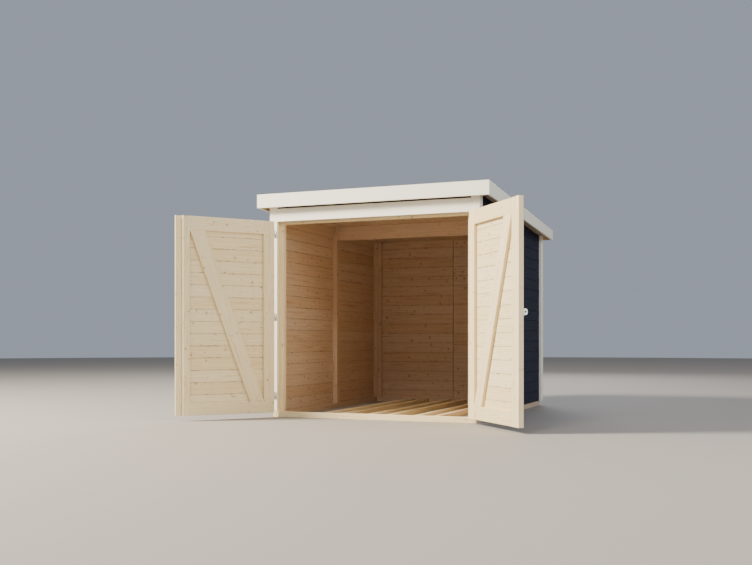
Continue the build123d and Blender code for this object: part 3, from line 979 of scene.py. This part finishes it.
# trims and fascias are nailed every quarter metre or so, and painted over
paintedNailing = {
    "trims": {"count": 6, "foot": 0.06, "top": 0.10, "returnDrop": 0.03},
    "sideFascias": {"count": 7, "inset": 0.05, "below": 0.052},
    "frontFascia": {"count": 7, "inset": 0.04, "rises": (-0.03, 0.03)},
    "lintel": {"count": 6, "inset": 0.04, "rises": (0.0,)},
}


def spread(low, high, count):
    return [low + (high - low) * i / (count - 1) for i in range(count)]


def paintedNails():
    spots = []
    trims, sides = paintedNailing["trims"], paintedNailing["sideFascias"]
    for name, side in (("left", -1), ("right", 1)):
        for end, faceSide in (("front", -1), ("back", 1)):
            low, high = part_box(f"{end}_{name}_corner_trim")
            faceY = low.y if faceSide < 0 else high.y
            outerX = (low.x if side < 0 else high.x) - side * cornerTrim["setBack"]
            returnY = (low.y + high.y - faceSide * cornerTrim["thickness"]) / 2
            for z in spread(low.z + trims["foot"], high.z - trims["top"], trims["count"]):
                spots.append((Vector(((low.x + high.x) / 2, faceY, z)), Vector((0, faceSide, 0))))
                spots.append((Vector((outerX, returnY, z - trims["returnDrop"])), Vector((side, 0, 0))))
        low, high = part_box(f"{name}_fascia")
        top, up = topOf(f"{name}_fascia")
        for y in spread(low.y + sides["inset"], high.y - sides["inset"], sides["count"]):
            z = top[2] - (y - top[1]) * up.y / up.z - sides["below"]
            spots.append((Vector((low.x if side < 0 else high.x, y, z)), Vector((side, 0, 0))))
    for node, row in (("front_fascia", "frontFascia"), ("lintel_board", "lintel")):
        row = paintedNailing[row]
        low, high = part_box(node)
        for x in spread(low.x + row["inset"], high.x - row["inset"], row["count"]):
            for rise in row["rises"]:
                spots.append((Vector((x, low.y, (low.z + high.z) / 2 + rise)), Vector((0, -1, 0))))
    return spots


# a screw near each end and in the middle of every track batten
trackScrewing = {"fromSide": 0.022, "fromEnd": 0.05}


def trackScrews():
    spots = []
    for node in tracks:
        low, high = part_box(node)
        for x in (low.x + trackScrewing["fromSide"], high.x - trackScrewing["fromSide"]):
            for y in spread(low.y + trackScrewing["fromEnd"], high.y - trackScrewing["fromEnd"], 3):
                spots.append((Vector((x, y, high.z)), Vector((0, 0, 1))))
    return spots


for body, spots in nailSpots.items():
    fasten(camel(body) + "BoardNails", "nail", spots, body, "dark_boards", anthracite)
for body, spots in hingeScrews().items():
    fasten(camel(body) + "HingeScrews", "screw", spots, body, "galvanised_steel", zinc)
fasten("feltClouts", "clout", cloutSpots, "shelter", "galvanised_steel", zinc)
fasten("paintedNails", "nail", paintedNails(), "shelter", "white_trim", warmWhite)
fasten("trackScrews", "screw", trackScrews(), "shelter", "galvanised_steel", zinc)

for node in ("hinge_brackets", "left_leaf_hinge_straps", "right_leaf_hinge_straps", "padlock_eye"):
    cad = frame["nodes"][node]
    cad.data.materials.clear()
    cad.data.materials.append(zinc)
print("hinges, nails and screws set")


# a level camera, solved in the photo's pixels: the frame is shifted so that the horizon keeps its row
photoCamera = {
    "width": 752, "middleRow": 282.5, "horizonRow": 340.98, "focal": 949.4,
    "sensor": 36, "at": (2.867, -6.993, 0.628), "turned": 22,
}
cameraData = bpy.data.cameras.new("camera")
cameraData.sensor_width = photoCamera["sensor"]
cameraData.lens = photoCamera["sensor"] * photoCamera["focal"] / photoCamera["width"]
cameraData.shift_y = (photoCamera["horizonRow"] - photoCamera["middleRow"]) / photoCamera["width"]
camera = newObject("camera", cameraData)
camera.location = photoCamera["at"]
camera.rotation_euler = (math.radians(90), 0, math.radians(photoCamera["turned"]))
bpy.context.scene.camera = camera

# a plain pale floor
floorLook = {"colour": "#99928A", "roughness": 0.85, "radius": 30, "segments": 96}
floorMaterial, tree, shader = newMaterial("paleFloor")
shader.inputs["Base Color"].default_value = linear(floorLook["colour"])
shader.inputs["Roughness"].default_value = floorLook["roughness"]
bm = bmesh.new()
bmesh.ops.create_circle(bm, cap_ends=True, segments=floorLook["segments"], radius=floorLook["radius"])
floor = newObject("floor", newMesh(bm, "floor", [floorMaterial]))
floor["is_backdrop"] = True

# a key from far out on the left rakes the front, softer lights stand on the right, behind and in front
studio = {
    "key": {"at": (-7.6, -5.0, 7.2), "aim": (0.0, 0.0, 0.9), "size": 2.6, "watts": 4350,
            "colour": "#FFF6E6"},
    "side": {"at": (8.0, -3.0, 3.5), "aim": (0.8, 0.0, 0.9), "size": 5.0, "watts": 420,
             "colour": "#EFF0F2"},
    "rear": {"at": (-1.3, 9.5, 5.5), "aim": (0.0, 1.0, 0.9), "size": 5.0, "watts": 480,
             "colour": "#EDF1FA"},
    "front": {"at": (0.2, -8.5, 8.0), "aim": (0.0, -0.4, 0.9), "size": 3.0, "watts": 400,
              "colour": "#FFF6E8"},
}
for name, lamp in studio.items():
    data = bpy.data.lights.new(name, "AREA")
    data.shape = "DISK"
    data.size = lamp["size"]
    data.energy = lamp["watts"]
    data.color = linear(lamp["colour"])[:3]
    light = newObject(name, data)
    light.location = lamp["at"]
    light.rotation_euler = (Vector(lamp["aim"]) - Vector(lamp["at"])).to_track_quat("-Z", "Y").to_euler()

sky = {"colour": "#DCE6F6", "strength": 0.45}
world = bpy.data.worlds.new("sky")
world.use_nodes = True
background = world.node_tree.nodes["Background"].inputs
background["Color"].default_value = linear(sky["colour"])
background["Strength"].default_value = sky["strength"]
bpy.context.scene.world = world
print("stage set")

low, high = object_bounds()
{"cad": [list(cadLow), list(cadHigh)], "visual": [list(low), list(high)]}
